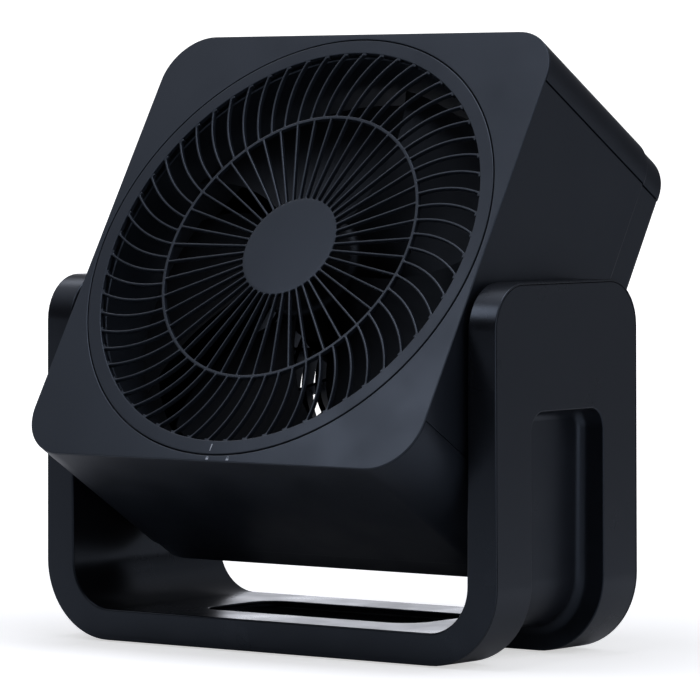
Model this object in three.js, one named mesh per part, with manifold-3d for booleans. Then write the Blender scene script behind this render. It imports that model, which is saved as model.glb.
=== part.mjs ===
// Box fan: a square fan head that tilts between the two arms of a U-shaped stand.
// Millimetres, +Z up, the fan blows towards -Y, +X is the viewer's right.
// Origin: on the floor, under the middle of the whole fan. Inside the file Y is measured from the
// middle of the stand, and the last lines move the fan so that its overall box is centred.
import * as THREE from 'three';
import { mergeVertices } from 'three/addons/utils/BufferGeometryUtils.js';
import Module from 'manifold-3d';

const wasm = await Module();
wasm.setup();

// ---------------------------------------------------------------- dimensions
const DEG = Math.PI / 180;
const GAP = 0.3;                 // clearance between touching pieces

// stand
const CENTRE_Y = -12.123;        // from the middle of the stand to the middle of the overall box
const FOOT_RISE = 1.0;           // how far the rubber feet stand proud
const STAND_HALF_Y = 83;         // half the depth of the strap
const ARM_TOP_Z = 258.3;
const OUT_HALF_TOP = 196.4;      // half width over the arms at their top
const OUT_HALF_BASE = 197.4;     // half width over the arms at the base corner
const OUT_R = 55;                // outer bottom corner radius
const IN_HALF_TOP = 174.0;       // half width between the arms at their top
const IN_HALF_BASE = 173.0;
const IN_R = 33;                 // inner bottom corner radius
const BASE_TOP_Z = 23;
const ARM_ROUND = 32;            // side-view radius of the arm tops
const SKIN = 1.8;                // inner wall of the frame
const LIP = 1.4;                 // edge walls of the frame
const COVER_T = 2.4;             // outer cover
const CHANNEL_HALF_Y = 42;       // recessed grip channel in the cover
const CHANNEL_TOP_Z = 171;
const CHANNEL_R = 14;
const CHANNEL_WALL = 2.0;
const SLOT = { x: 95, y: 40, r: 20 };   // opening through the base

// head, in its own frame: x right, y up, z forward, origin in the middle of the face
const TILT = 31.2;               // degrees above level at rest
const PIVOT_Z = 218.4;           // height of the tilt axis above the floor
const PIVOT_UP = -25;            // tilt axis below the middle of the face
const PIVOT_BACK = -82;          // tilt axis behind the face
const HALF = 170.2;              // half the face
const FACE_R = 36;               // corner radius of the face
const DEPTH = 165;               // head depth
const STEP_S = 139;              // depth of the small step in the shells
const STEP_IN = 1.4;
const SHELL_T = 2.2;
const PANEL_IN = 0.7;            // side panels lie below the corner shells
const PANEL_T = 1.8;
const PANEL_HALF_Y = 131.5;      // seam between side panel and corner shell
const BEZEL_T = 1.4;

// grille
const HOLE_R = 165.8;            // round opening of the face
const RING_R = 165.0;            // grille rim
const SLOT_R = 154.5;            // outer end of the slots
const MID_R = 103.5;             // middle ring
const HUB_R = 38.3;
const OUTER_RIBS = 60;
const INNER_RIBS = 45;
const RIB_W = 1.6;
const INTAKE_R0 = 50;            // innermost intake slots of the rear cover
const INTAKE_RINGS = 8;
const RIB_D = 3.2;
const MID_W = 2.3;
const LUG_TURN = 6;              // bayonet travel in degrees

// fan and motor
const DUCT_R = 154.6;
const BLADE_R = 147;
const BLADES = 5;
const FAN_HUB_R = 40;

// ---------------------------------------------------------------- helpers
const V2 = (p) => new THREE.Vector2(p[0], p[1]);

function closed(geometry) {
  const raw = geometry.clone();
  for (const name of Object.keys(raw.attributes)) if (name !== 'position') raw.deleteAttribute(name);
  const g = mergeVertices(raw, 1e-3);
  const p = g.attributes.position.array;
  const src = g.index.array;
  const out = [];
  let volume = 0;
  for (let i = 0; i < src.length; i += 3) {
    const [a, b, c] = [src[i], src[i + 1], src[i + 2]];
    if (a === b || b === c || a === c) continue;
    out.push(a, b, c);
    const [ax, ay, az, bx, by, bz, cx, cy, cz] = [a, b, c].flatMap((k) => [p[3 * k], p[3 * k + 1], p[3 * k + 2]]);
    volume += ax * (by * cz - bz * cy) - ay * (bx * cz - bz * cx) + az * (bx * cy - by * cx);
  }
  if (volume < 0) for (let i = 0; i < out.length; i += 3) [out[i + 1], out[i + 2]] = [out[i + 2], out[i + 1]];
  g.setIndex(out);
  return g;
}

function solid(geometry) {
  const g = closed(geometry);
  return new wasm.Manifold(new wasm.Mesh({
    numProp: 3,
    vertProperties: new Float32Array(g.attributes.position.array),
    triVerts: new Uint32Array(g.index.array),
  }));
}

function geometryOf(manifold) {
  const m = manifold.getMesh();
  const g = new THREE.BufferGeometry();
  const n = m.numProp;
  const pos = new Float32Array((m.vertProperties.length / n) * 3);
  for (let i = 0; i < pos.length / 3; i++) for (let k = 0; k < 3; k++) pos[3 * i + k] = m.vertProperties[n * i + k];
  g.setAttribute('position', new THREE.BufferAttribute(pos, 3));
  g.setIndex(new THREE.BufferAttribute(new Uint32Array(m.triVerts), 1));
  return g;
}

const union = (...parts) => parts.reduce((a, b) => a.add(b));
const cut = (a, ...tools) => tools.reduce((r, t) => r.subtract(t), a);

function arc(cx, cy, r, a0, a1, n) {
  const pts = [];
  for (let i = 0; i <= n; i++) {
    const a = (a0 + (a1 - a0) * i / n) * DEG;
    pts.push([cx + r * Math.cos(a), cy + r * Math.sin(a)]);
  }
  return pts;
}
const circle = (r, n, cx = 0, cy = 0) => arc(cx, cy, r, 0, 360 - 360 / n, n - 1);
function rrect(hx, hy, r, n = 8, cx = 0, cy = 0) {
  return [
    ...arc(cx + hx - r, cy + hy - r, r, 0, 90, n), ...arc(cx - hx + r, cy + hy - r, r, 90, 180, n),
    ...arc(cx - hx + r, cy - hy + r, r, 180, 270, n), ...arc(cx + hx - r, cy - hy + r, r, 270, 360, n),
  ];
}

// straight prism of a flat outline between two z levels
function prism(outline, z0, z1, holes = []) {
  const s = new THREE.Shape(outline.map(V2));
  for (const h of holes) s.holes.push(new THREE.Path(h.map(V2)));
  const g = new THREE.ExtrudeGeometry(s, { depth: z1 - z0, steps: 1, bevelEnabled: false, curveSegments: 1 });
  g.translate(0, 0, z0);
  return g;
}
// an outline drawn in (x, z), extruded along y
function prismY(outline, y0, y1, holes = []) {
  const g = prism(outline, 0, y1 - y0, holes);
  g.rotateX(90 * DEG);
  g.translate(0, y1, 0);
  return g;
}
// an outline drawn in (y, z), extruded along x
function prismX(outline, x0, x1, holes = []) {
  const g = prism(outline, x0, x1, holes);
  g.applyMatrix4(new THREE.Matrix4().makeBasis(new THREE.Vector3(0, 1, 0), new THREE.Vector3(0, 0, 1), new THREE.Vector3(1, 0, 0)));
  return g;
}
// turned piece about z; the profile is [radius, z] and closes on itself or on the axis
function turned(profile, segments) {
  const g = new THREE.LatheGeometry(profile.map(V2), segments);
  g.rotateX(90 * DEG);
  return g;
}
const ringProfile = (r0, r1, z0, z1) => [[r0, z0], [r1, z0], [r1, z1], [r0, z1], [r0, z0]];
const rodProfile = (r, z0, z1) => [[0, z0], [r, z0], [r, z1], [0, z1]];
// turn a piece made about z so that its axis lies along +x
function alongX(g, x = 0, y = 0, z = 0) {
  g.rotateY(90 * DEG);
  g.translate(x, y, z);
  return g;
}
function placed(g, x, y, z) { g.translate(x, y, z); return g; }

// stack of rounded squares, joined and closed by flat ends
function loft(sections, n = 7) {
  const pos = [];
  const idx = [];
  const rings = sections.map((s) => rrect(s.h, s.h, s.r, n));
  const count = rings[0].length;
  rings.forEach((ring, k) => ring.forEach((p) => pos.push(p[0], p[1], sections[k].z)));
  for (let k = 0; k + 1 < rings.length; k++) {
    for (let i = 0; i < count; i++) {
      const j = (i + 1) % count;
      const [a, b, c, d] = [k * count + i, k * count + j, (k + 1) * count + j, (k + 1) * count + i];
      idx.push(a, b, c, a, c, d);
    }
  }
  for (const k of [0, rings.length - 1]) {
    const centre = pos.length / 3;
    pos.push(0, 0, sections[k].z);
    for (let i = 0; i < count; i++) {
      const j = (i + 1) % count;
      if (k === 0) idx.push(centre, k * count + j, k * count + i);
      else idx.push(centre, k * count + i, k * count + j);
    }
  }
  const g = new THREE.BufferGeometry();
  g.setAttribute('position', new THREE.BufferAttribute(new Float32Array(pos), 3));
  g.setIndex(idx);
  return g;
}

const material = (color, roughness, metalness = 0) => new THREE.MeshStandardMaterial({ color, roughness, metalness });
const SLATE = () => material(0x363d45, 0.45);
const DARK = () => material(0x26292f, 0.5);
const BLACK = () => material(0x141518, 0.6);
const STEEL = () => material(0x9a9da0, 0.35, 1);
const COPPER = () => material(0x7a4a2a, 0.5, 0.8);
const RUBBER = () => material(0x1a1a1a, 0.9);

function piece(name, shape, mat) {
  const g = shape instanceof THREE.BufferGeometry ? closed(shape) : geometryOf(shape);
  g.computeVertexNormals();
  const mesh = new THREE.Mesh(g, mat);
  mesh.name = name;
  return mesh;
}

// ---------------------------------------------------------------- stand
// open U lines in (x, z), from the top of the left arm to the top of the right arm
function outerLine(o, top, n = 8) {
  const [xt, xb, zb, r] = [OUT_HALF_TOP - o, OUT_HALF_BASE - o, FOOT_RISE + o, OUT_R - o];
  return [[-xt, top], ...arc(-xb + r, zb + r, r, 180, 270, n), ...arc(xb - r, zb + r, r, 270, 360, n), [xt, top]];
}
function innerLine(i, top, n = 8) {
  const [xt, xb, zb, r] = [IN_HALF_TOP + i, IN_HALF_BASE + i, BASE_TOP_Z - i, IN_R + i];
  return [[-xt, top], ...arc(-xb + r, zb + r, r, 180, 270, n), ...arc(xb - r, zb + r, r, 270, 360, n), [xt, top]];
}
const band = (outer, inner) => [...outer, ...inner.slice().reverse()];
// side view of the arms, rounded at the top
function sideView(halfY, top, r, n = 7) {
  return [[halfY, -20], ...arc(halfY - r, top - r, r, 0, 90, n), ...arc(-halfY + r, top - r, r, 90, 180, n), [-halfY, -20]];
}
const strap = (outer, inner, halfY, top, r) =>
  solid(prismY(band(outer, inner), -halfY, halfY)).intersect(solid(prismX(sideView(halfY, top, r), -260, 260)));

const stand = new THREE.Group();

const baseSlot = (grow, z0, z1) => solid(prism(rrect(SLOT.x + grow, SLOT.y + grow, SLOT.r + grow, 8), z0, z1));
const SCREW_X = 80;
const SIDE_Y = 63;
const screwSpots = [[-SCREW_X, -SIDE_Y], [SCREW_X, -SIDE_Y], [-SCREW_X, SIDE_Y], [SCREW_X, SIDE_Y]];
const footSpots = [[-120, -SIDE_Y], [120, -SIDE_Y], [-120, SIDE_Y], [120, SIDE_Y]];

{
  let frame = strap(outerLine(0, ARM_TOP_Z), innerLine(0, ARM_TOP_Z), STAND_HALF_Y, ARM_TOP_Z, ARM_ROUND);
  const hollow = strap(outerLine(-8, ARM_TOP_Z - LIP), innerLine(SKIN, ARM_TOP_Z - LIP), STAND_HALF_Y - LIP, ARM_TOP_Z - LIP, ARM_ROUND - LIP);
  frame = cut(frame, hollow);
  // collars round the tilt axis and posts for the cover screws
  for (const s of [-1, 1]) frame = frame.add(solid(alongX(turned(rodProfile(16, s > 0 ? 174.6 : -181, s > 0 ? 181 : -174.6), 24), 0, 0, PIVOT_Z)));
  for (const [x, y] of screwSpots) frame = frame.add(solid(placed(turned(rodProfile(4.2, FOOT_RISE + COVER_T + GAP, BASE_TOP_Z - 0.9), 10), x, y, 0)));
  for (const [x, y] of screwSpots) frame = frame.subtract(solid(placed(turned(rodProfile(1.7, 0, 14), 8), x, y, 0)));
  frame = cut(frame, baseSlot(0, 10, 40), solid(alongX(turned(rodProfile(10.4, -190, 190), 24), 0, 0, PIVOT_Z)));
  stand.add(piece('stand_frame', frame, DARK()));

  const inset = LIP + 0.35;
  let cover = strap(outerLine(0, ARM_TOP_Z - inset), outerLine(COVER_T, ARM_TOP_Z - inset), STAND_HALF_Y - inset, ARM_TOP_Z - inset, ARM_ROUND - inset);
  const channelTop = CHANNEL_TOP_Z + CHANNEL_WALL;
  cover = cover.add(strap(outerLine(0, channelTop), innerLine(SKIN + GAP, channelTop), CHANNEL_HALF_Y + CHANNEL_WALL, channelTop, CHANNEL_R + CHANNEL_WALL));
  cover = cover.subtract(strap(outerLine(-8, CHANNEL_TOP_Z), innerLine(SKIN + GAP + CHANNEL_WALL, CHANNEL_TOP_Z), CHANNEL_HALF_Y, CHANNEL_TOP_Z, CHANNEL_R));
  cover = cover.subtract(baseSlot(0.4, -5, 40));
  for (const [x, y] of footSpots) cover = cover.subtract(solid(prism(rrect(16.3, 8.3, 8.3, 6, x, y), -1, FOOT_RISE + 1.2)));
  for (const [x, y] of screwSpots) {
    cover = cover.subtract(solid(placed(turned(rodProfile(3.6, -1, FOOT_RISE + 1.3), 10), x, y, 0)));
    cover = cover.subtract(solid(placed(turned(rodProfile(1.8, -1, 6), 8), x, y, 0)));
  }
  stand.add(piece('stand_cover', cover, DARK()));
}

['front_left', 'front_right', 'rear_left', 'rear_right'].forEach((where, k) => {
  const [fx, fy] = footSpots[k];
  stand.add(piece(`foot_${where}`, prism(rrect(16, 8, 8, 6, fx, fy), 0, FOOT_RISE + 1.2 - GAP), RUBBER()));
  const [sx, sy] = screwSpots[k];
  stand.add(piece(`stand_screw_${where}`, placed(turned([[0, 1.05], [3.2, 1.05], [3.2, 2.0], [1.4, 2.0], [1.4, 12], [0, 12]], 10), sx, sy, 0), STEEL()));
});
for (const [side, s] of [['left', -1], ['right', 1]]) {
  const x0 = 172.1;
  const g = turned(ringProfile(11, 19, 0, 1.3), 24);
  stand.add(piece(`friction_washer_${side}`, alongX(g, s > 0 ? x0 : -x0 - 1.3, 0, PIVOT_Z), RUBBER()));
}

// ---------------------------------------------------------------- head
const head = new THREE.Group();          // origin on the tilt axis
head.position.set(0, 0, PIVOT_Z);
head.rotation.x = (90 - TILT) * DEG;
const face = new THREE.Group();          // origin in the middle of the face
face.position.set(0, -PIVOT_UP, -PIVOT_BACK);
head.add(face);

const POST = 147;                        // corner posts of the face, and their screws
const posts = [[-POST, POST], [POST, POST], [-POST, -POST], [POST, -POST]];
const GLAND = [-124, -126];
const KNOB = [121, 121];

// body outline with the small step and the softened rear edge; off = inward offset
const body = (off, front = 0.01) => loft([
  { z: front, h: HALF - off, r: FACE_R - off },
  { z: -STEP_S, h: HALF - off, r: FACE_R - off },
  { z: -STEP_S - 2, h: HALF - STEP_IN - off, r: FACE_R - STEP_IN - off },
  { z: -DEPTH + 4.5, h: HALF - STEP_IN - off, r: FACE_R - STEP_IN - off },
  { z: -DEPTH + 1.3, h: HALF - STEP_IN - 1.3 - off, r: FACE_R - STEP_IN - 1.3 - off },
  { z: -DEPTH, h: HALF - STEP_IN - 4.5 - off, r: FACE_R - STEP_IN - 4.5 - off },
]);
// hollow inside of the shells, with a lip left standing round the rear
const inside = (off) => union(
  solid(loft([
    { z: 1, h: HALF - off, r: FACE_R - off },
    { z: -STEP_S + 1, h: HALF - off, r: FACE_R - off },
    { z: -STEP_S - 1, h: HALF - STEP_IN - off, r: FACE_R - STEP_IN - off },
    { z: -161.5, h: HALF - STEP_IN - off, r: FACE_R - STEP_IN - off },
  ])),
  solid(prism(rrect(163, 163, 28.5, 7), -DEPTH - 2, -150)),
);
const slab = (x0, x1, y0, y1) => solid(prism([[x0, y0], [x1, y0], [x1, y1], [x0, y1]], -DEPTH - 5, -BEZEL_T - GAP));
{
  const shell = cut(solid(body(0)), inside(SHELL_T));
  const skin = cut(solid(body(PANEL_IN)), inside(PANEL_IN + PANEL_T));
  const seam = 0.3;
  face.add(piece('head_shell_top', shell.intersect(slab(-200, 200, PANEL_HALF_Y + seam / 2, 200)), SLATE()));
  face.add(piece('head_shell_bottom', shell.intersect(slab(-200, 200, -200, -PANEL_HALF_Y - seam / 2)), SLATE()));
  for (const [side, s] of [['left', -1], ['right', 1]]) {
    let panel = skin.intersect(slab(s > 0 ? 100 : -200, s > 0 ? 200 : -100, -PANEL_HALF_Y + seam / 2, PANEL_HALF_Y - seam / 2));
    panel = panel.subtract(solid(alongX(turned(rodProfile(10.5, s > 0 ? 150 : -190, s > 0 ? 190 : -150), 32), 0, PIVOT_UP, PIVOT_BACK)));
    face.add(piece(`side_panel_${side}`, panel, SLATE()));
  }
}

const radial = (r, a) => [r * Math.cos(a * DEG), r * Math.sin(a * DEG)];
const lugAngles = [45, 135, 225, 315];
{
  // face plate, rim, grille seat with bayonet slots, air duct and corner posts
  const n = 48;
  let bezel = solid(prism(rrect(HALF, HALF, FACE_R, 7), -BEZEL_T, 0, [circle(HOLE_R, n)]));
  bezel = bezel.add(solid(prism(rrect(167.2, 167.2, 33, 7), -3.2, -BEZEL_T / 2, [circle(HOLE_R, n)])));
  bezel = bezel.add(solid(turned(ringProfile(HOLE_R, 167.2, -9.2, -1), n)));
  const slots = [];
  for (const a of lugAngles) {
    slots.push([...arc(0, 0, 162.0, a - 1.2, a + LUG_TURN - 2.3, 2), ...arc(0, 0, 163.8, a + LUG_TURN - 2.3, a + LUG_TURN + 2.3, 2),
      ...arc(0, 0, 156.9, a + LUG_TURN + 2.3, a + LUG_TURN - 2.3, 2), ...arc(0, 0, 158.4, a + LUG_TURN - 2.3, a - 1.2, 2)]);
  }
  bezel = bezel.add(solid(prism(circle(167.2, n), -9.2, -7.2, [circle(DUCT_R, n), ...slots])));
  bezel = bezel.add(solid(turned(ringProfile(DUCT_R, DUCT_R + 1.6, -74, -8), n)));
  for (const [x, y] of posts) bezel = bezel.add(solid(placed(turned(rodProfile(5.2, -158.4, -2), 10), x, y, 0)));
  for (const [x, y] of posts) bezel = bezel.subtract(solid(placed(turned(rodProfile(1.9, -170, -130), 8), x, y, 0)));
  face.add(piece('front_bezel', bezel, SLATE()));
}

{
  // rear cover: square plate with the intake slots, inner flange, knob hole and gland hole
  const holes = [];
  const ring = (r0, r1, count, w, start) => {
    for (let k = 0; k < count; k++) {
      const a = start + 360 * k / count;
      const [h0, h1] = [w / 2 / r0 / DEG, w / 2 / r1 / DEG];
      const step = 360 / count;
      holes.push([...arc(0, 0, r1, a + h1, a + step - h1, 2), ...arc(0, 0, r0, a + step - h0, a + h0, 2)]);
    }
  };
  for (let k = 0; k < INTAKE_RINGS; k++) ring(INTAKE_R0 + 11.4 * k, INTAKE_R0 + 11.4 * k + 7.4, 16, 2.6, 0);
  let rear = solid(prism(rrect(162.6, 162.6, 28.1, 7), -164.2, -161.1));
  rear = rear.add(solid(turned(ringProfile(48, 141.2, -164.2, -154.2), 48)));
  rear = rear.add(solid(prism(rrect(166.1, 166.1, 31.8, 7), -161.2, -158.9, [rrect(154, 154, 60, 6)])));
  for (const hole of holes) rear = rear.subtract(solid(prism(hole, -170, -145)));
  for (const [x, y] of posts) {
    rear = rear.subtract(solid(placed(turned(rodProfile(4.2, -170, -161.6), 10), x, y, 0)));
    rear = rear.subtract(solid(placed(turned(rodProfile(2.0, -170, -150), 8), x, y, 0)));
  }
  for (let k = 0; k < 3; k++) {
    const [x, y] = radial(34, 90 + 120 * k);
    rear = rear.subtract(solid(placed(turned(rodProfile(3.5, -170, -162.4), 10), x, y, 0)));
    rear = rear.subtract(solid(placed(turned(rodProfile(1.9, -170, -150), 8), x, y, 0)));
  }
  rear = cut(rear,
    solid(placed(turned(rodProfile(3.9, -170, -150), 16), KNOB[0], KNOB[1], 0)),
    solid(placed(turned(rodProfile(7.9, -170, -150), 24), GLAND[0], GLAND[1], 0)));
  face.add(piece('rear_cover', rear, SLATE()));
}
['top_left', 'top_right', 'bottom_left', 'bottom_right'].forEach((where, k) => {
  face.add(piece(`cover_screw_${where}`,
    placed(turned([[0, -164.0], [3.8, -164.0], [3.8, -161.9], [1.6, -161.9], [1.6, -140], [0, -140]], 10), posts[k][0], posts[k][1], 0), STEEL()));
});

// tilt stubs, fixed to the side panels, with their retainers inside the arms
for (const [side, s] of [['left', -1], ['right', 1]]) {
  const flip = (pts) => (s > 0 ? pts : pts.map(([r, x]) => [r, -x]));
  const stub = [[0, 158], [10, 158], [10, 169.8], [18, 169.8], [18, 171.8], [10, 171.8], [10, 184], [3.2, 184], [3.2, 174], [0, 174]];
  face.add(piece(`tilt_stub_${side}`, alongX(turned(flip(stub), 24), 0, PIVOT_UP, PIVOT_BACK), BLACK()));
  face.add(piece(`tilt_retainer_${side}`, alongX(turned(flip(ringProfile(3.6, 14, 184.3, 186)), 20), 0, PIVOT_UP, PIVOT_BACK), STEEL()));
  const screw = [[0, 175], [2.8, 175], [2.8, 186.3], [6, 186.3], [6, 189], [0, 189]];
  face.add(piece(`tilt_screw_${side}`, alongX(turned(flip(screw), 12), 0, PIVOT_UP, PIVOT_BACK), STEEL()));
}

// motor, its plate, windings and bearings
face.add(piece('motor_plate', cut(solid(turned(ringProfile(10, 46, -160.6, -158.7), 28)),
  ...[0, 1, 2].map((k) => solid(placed(turned(rodProfile(1.9, -170, -150), 8), ...radial(34, 90 + 120 * k), 0)))), STEEL()));
face.add(piece('motor_can_rear', cut(solid(turned([[6.4, -158.4], [42, -158.4], [42, -122.2], [40.4, -122.2], [40.4, -156.4], [6.4, -156.4], [6.4, -158.4]], 28)),
  ...[0, 1, 2].map((k) => solid(placed(turned(rodProfile(1.9, -170, -150), 8), ...radial(34, 90 + 120 * k), 0)))), STEEL()));
face.add(piece('motor_can_front', turned([[6.4, -86], [42, -86], [42, -121.9], [40.4, -121.9], [40.4, -88], [6.4, -88], [6.4, -86]], 28), STEEL()));
face.add(piece('motor_stator', turned(ringProfile(25, 40, -140, -104), 24), COPPER()));
face.add(piece('motor_bearing_front', turned([[4.2, -93], [9, -93], [9, -88.3], [6.1, -88.3], [6.1, -85], [4.2, -85], [4.2, -93]], 18), STEEL()));
face.add(piece('motor_bearing_rear', turned([[4.2, -151], [9, -151], [9, -156.1], [6.1, -156.1], [6.1, -158], [4.2, -158], [4.2, -151]], 18), STEEL()));
[0, 1, 2].forEach((k) => {
  const [x, y] = radial(34, 90 + 120 * k);
  face.add(piece(`motor_screw_${k + 1}`, placed(turned([[0, -164.0], [3.1, -164.0], [3.1, -162.7], [1.55, -162.7], [1.55, -157], [0, -157]], 10), x, y, 0), STEEL()));
});

// electrics: rotary switch behind the knob, capacitor, terminal block, motor lead, cord gland
face.add(piece('speed_switch', cut(solid(prism(rrect(14, 14, 2, 2, KNOB[0], KNOB[1]), -158.5, -136)),
  solid(placed(turned(rodProfile(3.4, -165, -150), 16), KNOB[0], KNOB[1], 0))), BLACK()));
face.add(piece('motor_capacitor', prism(rrect(19, 9, 2, 2, 120, -132), -157, -130), BLACK()));
face.add(piece('terminal_block', prism(rrect(12, 7, 1.5, 2, -122, -98), -158.5, -146), material(0xd8d4c8, 0.6)));
{
  // the lead starts just off the motor can and ends just off the switch
  const path = new THREE.CatmullRomCurve3([
    new THREE.Vector3(31, 31, -120), new THREE.Vector3(46, 46, -123), new THREE.Vector3(70, 72, -142),
    new THREE.Vector3(92, 92, -150), new THREE.Vector3(106.2, 106.2, -147),
  ].map((p) => p));
  const g = new THREE.ExtrudeGeometry(new THREE.Shape(circle(1.8, 8).map(V2)), { steps: 8, bevelEnabled: false, extrudePath: path, curveSegments: 1 });
  face.add(piece('motor_lead', g, BLACK()));
}
face.add(piece('cord_gland', placed(turned([[3.8, -167.6], [10.5, -167.6], [10.5, -164.5], [7.5, -164.5], [7.5, -158.5], [9, -158.5], [9, -156], [3.8, -156], [3.8, -167.6]], 18), GLAND[0], GLAND[1], 0), RUBBER()));

// ---------------------------------------------------------------- front grille
// the ribs fall back a little from the rim to the hub
const dish = (r) => {
  if (r >= SLOT_R) return 0;
  if (r >= MID_R) return -0.3 - 2.0 * (SLOT_R - r) / (SLOT_R - MID_R);
  return -2.3 - 1.1 * (MID_R - r) / (MID_R - HUB_R);
};
{
  const ribAngle = (r) => -0.07 * (r - MID_R) - 0.0018 * (r - MID_R) ** 2;   // swept outer ribs
  const holes = [];
  const [ro0, ro1] = [MID_R + MID_W / 2, SLOT_R];
  for (let k = 0; k < OUTER_RIBS; k++) {
    const a = 360 * k / OUTER_RIBS;
    const step = 360 / OUTER_RIBS;
    const side = (off, sign) => {
      const pts = [];
      const m = 2;
      for (let i = 0; i <= m; i++) {
        const r = ro0 + (ro1 - ro0) * i / m;
        pts.push(radial(r, a + off + ribAngle(r) + sign * RIB_W / 2 / r / DEG));
      }
      return pts;
    };
    holes.push([...side(0, 1), ...side(step, -1).reverse()]);
  }
  const [ri0, ri1] = [HUB_R, MID_R - MID_W / 2];
  for (let k = 0; k < INNER_RIBS; k++) {
    const a = 4 + 360 * k / INNER_RIBS;
    const step = 360 / INNER_RIBS;
    const pts = [];
    for (const r of [ri0, ri1]) pts.push(radial(r, a + RIB_W / 2 / r / DEG));
    for (const r of [ri1, ri0]) pts.push(radial(r, a + step - RIB_W / 2 / r / DEG));
    holes.push(pts);
  }
  const g = prism(circle(RING_R, 60), -RIB_D, 0, holes);
  const p = g.attributes.position;
  for (let i = 0; i < p.count; i++) p.setZ(i, p.getZ(i) + dish(Math.hypot(p.getX(i), p.getY(i)) + 0.01));
  let grille = solid(g);
  grille = grille.add(solid(turned(ringProfile(162.6, RING_R, -6.9, -1), 60)));
  for (const a of lugAngles) {
    for (const [r0, r1, w, z0, z1] of [[159, 161.4, 4, -12, -2], [157.4, 163.2, 9, -12, -9.6]]) {
      const b = new THREE.BoxGeometry(r1 - r0, w, z1 - z0);
      b.translate((r0 + r1) / 2, 0, (z0 + z1) / 2);
      b.rotateZ(a * DEG);
      grille = grille.add(solid(b));
    }
  }
  face.add(piece('front_grille', grille, SLATE()));
}

// ---------------------------------------------------------------- rotor
function blade(a0) {
  // swept, twisted blade: nr stations outwards, nc across the chord, two skins
  const [nr, nc, t] = [4, 4, 1.1];
  const pos = [];
  for (const sgn of [1, -1]) {
    for (let i = 0; i <= nr; i++) {
      const f = i / nr;
      const r = 34 + (BLADE_R - 34) * f;
      const span = 62 + 6 * Math.sin(Math.PI * f) - 6 * f + 10 * f * f;     // degrees of arc
      const lift = 34 - 10 * f;                                // fall along the chord
      for (let j = 0; j <= nc; j++) {
        const v = j / nc - 0.5;
        const a = a0 + 18 * f * f + span * v;
        const tt = t * (1 - 0.7 * (2 * v) ** 4);
        const z = -47 + lift * v - 5 * (1 - 4 * v * v) * (0.4 + 0.6 * f) + sgn * tt;
        pos.push(r * Math.cos(a * DEG), r * Math.sin(a * DEG), z);
      }
    }
  }
  const row = nc + 1;
  const skin = (nr + 1) * row;
  const idx = [];
  const quad = (a, b, c, d) => idx.push(a, b, c, a, c, d);
  for (let i = 0; i < nr; i++) for (let j = 0; j < nc; j++) {
    const k = i * row + j;
    quad(k, k + row, k + row + 1, k + 1);
    quad(skin + k, skin + k + 1, skin + k + row + 1, skin + k + row);
  }
  for (let i = 0; i < nr; i++) for (const j of [0, nc]) {
    const k = i * row + j;
    if (j === 0) quad(k, skin + k, skin + k + row, k + row);
    else quad(k, k + row, skin + k + row, skin + k);
  }
  for (let j = 0; j < nc; j++) for (const i of [0, nr]) {
    const k = i * row + j;
    if (i === 0) quad(k, k + 1, skin + k + 1, skin + k);
    else quad(k, skin + k, skin + k + 1, k + 1);
  }
  const g = new THREE.BufferGeometry();
  g.setAttribute('position', new THREE.BufferAttribute(new Float32Array(pos), 3));
  g.setIndex(idx);
  return g;
}
{
  let fan = solid(turned([[4.3, -28], [36, -28], [FAN_HUB_R, -32], [FAN_HUB_R, -68], [37.5, -68], [37.5, -34], [11, -34], [11, -64], [4.3, -64], [4.3, -28]], 32));
  for (let k = 0; k < BLADES; k++) fan = fan.add(solid(blade(30 + 360 * k / BLADES)));
  // the inside of the hub stays open
  fan = fan.subtract(solid(turned(ringProfile(11, 37.5, -80, -34), 32)));
  face.add(piece('fan_blade', fan, BLACK()));
}
face.add(piece('motor_shaft', turned(rodProfile(4, -155.5, -24), 18), STEEL()));
face.add(piece('motor_rotor', turned(ringProfile(4.3, 24.4, -138, -106), 24), STEEL()));
face.add(piece('fan_nut', turned([[4.3, -27.7], [11, -27.7], [11, -24], [7, -20], [0, -19], [0, -23.7], [4.3, -23.7], [4.3, -27.7]], 16), BLACK()));

// ---------------------------------------------------------------- speed knob
{
  let knob = solid(turned([[0, -178], [14.2, -178], [15.6, -176.6], [16.6, -164.6], [3, -164.6], [3, -154], [0, -154]], 28));
  const bar = prism(rrect(15.2, 3.2, 3, 4), -181, -176);
  bar.rotateZ(135 * DEG);
  knob = knob.add(solid(bar));
  const g = geometryOf(knob);
  face.add(piece('speed_knob', placed(g, KNOB[0], KNOB[1], 0), BLACK()));
}

const boxFan = new THREE.Group();
boxFan.add(stand, head);
boxFan.position.set(0, CENTRE_Y, 0);
boxFan.updateMatrixWorld(true);

export default boxFan;
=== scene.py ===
import math
import bpy
import bmesh
import numpy as np
from mathutils import Matrix, Vector


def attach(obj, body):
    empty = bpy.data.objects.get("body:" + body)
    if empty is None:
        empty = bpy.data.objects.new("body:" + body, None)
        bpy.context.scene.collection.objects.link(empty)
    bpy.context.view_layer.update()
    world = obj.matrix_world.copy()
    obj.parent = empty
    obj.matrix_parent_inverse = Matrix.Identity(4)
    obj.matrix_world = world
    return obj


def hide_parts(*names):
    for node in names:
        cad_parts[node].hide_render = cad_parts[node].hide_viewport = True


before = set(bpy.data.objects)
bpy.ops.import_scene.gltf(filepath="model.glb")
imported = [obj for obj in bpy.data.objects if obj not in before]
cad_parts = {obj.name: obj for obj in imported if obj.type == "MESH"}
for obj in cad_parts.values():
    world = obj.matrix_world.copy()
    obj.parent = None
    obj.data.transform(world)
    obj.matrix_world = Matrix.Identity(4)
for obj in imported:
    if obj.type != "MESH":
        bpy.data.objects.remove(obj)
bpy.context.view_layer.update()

MM = 0.001
sin, cos, rad = math.sin, math.cos, math.radians

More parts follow.
